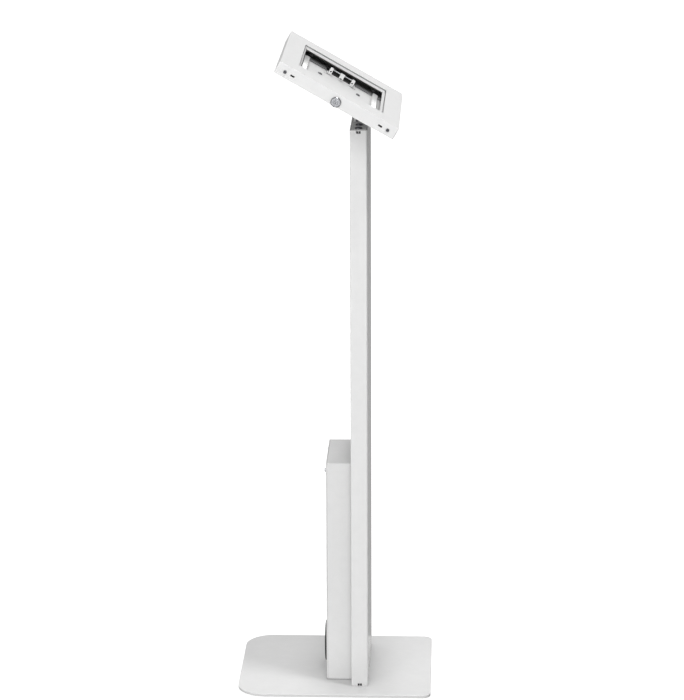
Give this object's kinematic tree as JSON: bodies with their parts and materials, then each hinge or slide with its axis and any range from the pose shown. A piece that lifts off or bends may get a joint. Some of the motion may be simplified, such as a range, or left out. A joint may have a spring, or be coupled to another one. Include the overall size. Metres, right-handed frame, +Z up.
{
  "type": "customer display stand",
  "caption": "Floor-standing display stand: base plate, flat column, rear cable box and a tilting lockable tablet enclosure with an open window.",
  "frame": {"origin": "on the floor at the centre of the base plate", "axes": "+Z up; -Y towards the customer, the low edge of the tilted head; +X is the side where the opening frame is hinged"},
  "size_m": [0.3383, 0.342, 1.1337],
  "materials": {
    "white_steel": "fine-texture white powder coat, satin",
    "dark_zinc": "black zinc plated, satin",
    "zinc": "bright zinc plated",
    "chrome": "polished chrome plate",
    "black_rubber": "matt moulded rubber",
    "black_foam": "closed-cell foam, matt",
    "black_plastic": "moulded, satin",
    "grey_plastic": "moulded, satin",
    "white_plastic": "moulded, satin"
  },
  "bodies": {
    "stand": {"base_plate": "white_steel", "base_feet": "black_rubber", "foot_bolts": "dark_zinc", "foot_weld_nuts": "zinc", "column_foot_plate": "white_steel", "column_tube": "white_steel", "column_top_plate": "white_steel", "top_cable_bush": "black_rubber", "hinge_yoke": "white_steel", "yoke_screws": "dark_zinc", "cheek_screws": "dark_zinc", "pivot_bolts": "dark_zinc", "pivot_washers": "dark_zinc", "friction_washers": "black_plastic", "spring_washers": "zinc", "pivot_nuts": "zinc", "box_body": "white_steel", "box_screws": "dark_zinc", "column_rivet_nuts": "zinc", "column_cable_bush": "black_rubber", "clip_nuts": "zinc"},
    "head": {"tilt_bracket": "white_steel", "head_tray": "white_steel", "vesa_screws": "zinc", "support_rail_upper": "white_plastic", "support_rail_lower": "white_plastic", "foam_pad_right": "black_foam", "foam_pad_left": "black_foam", "pad_rivets": "grey_plastic", "tray_cable_grommet": "black_rubber", "bracket_lugs": "white_steel", "bracket_pins": "zinc", "lock_strike": "zinc", "tray_hinge_leaves": "white_steel", "cover_hinge_pins": "zinc"},
    "front_frame": {"front_shell": "white_steel", "window_bezel": "white_steel", "frame_brackets": "dark_zinc", "frame_screws": "dark_zinc", "cover_hinge_leaves": "white_steel", "lock_body": "chrome", "lock_nut": "zinc"},
    "lock": {"lock_plug": "chrome", "lock_cam": "zinc", "cam_screw": "dark_zinc"},
    "cable_holder": {"cable_bracket": "white_plastic", "cable_bar": "zinc", "cable_clamp": "white_plastic"},
    "rear_cover": {"box_cover": "white_steel", "cover_screws": "zinc", "grommet_ring": "black_plastic"},
    "cable_cap": {"grommet_cap": "black_plastic"}
  },
  "joints": [
    {"name": "head_tilt", "type": "hinge", "parent": "stand", "child": "head", "pos_m": [0, -0.0453, 1.02], "axis": [1, 0, 0], "range_deg": [-29.8, 40]},
    {"name": "frame_open", "type": "hinge", "parent": "head", "child": "front_frame", "pos_m": [0.164, -0.00467, 1.05655], "axis": [0, 0.8678, 0.497], "range_deg": [0, 100]},
    {"name": "lock_turn", "type": "hinge", "parent": "front_frame", "child": "lock", "pos_m": [-0.167, -0.00994, 1.06575], "axis": [1, 0, 0], "range_deg": [0, 90]},
    {"name": "cable_bracket_fold", "type": "hinge", "parent": "head", "child": "cable_holder", "pos_m": [0.075, -0.00805, 1.06245], "axis": [0, -0.8678, -0.497], "range_deg": [0, 90]},
    {"name": "rear_cover_tilt", "type": "hinge", "parent": "stand", "child": "rear_cover", "pos_m": [0, 0.0126, 0.0082], "axis": [-1, 0, 0], "range_deg": [0, 12]},
    {"name": "cable_cap_turn", "type": "hinge", "parent": "rear_cover", "child": "cable_cap", "pos_m": [0, 0.0146, 0.054], "axis": [0, 1, 0], "range_deg": [-90, 90]}
  ]
}
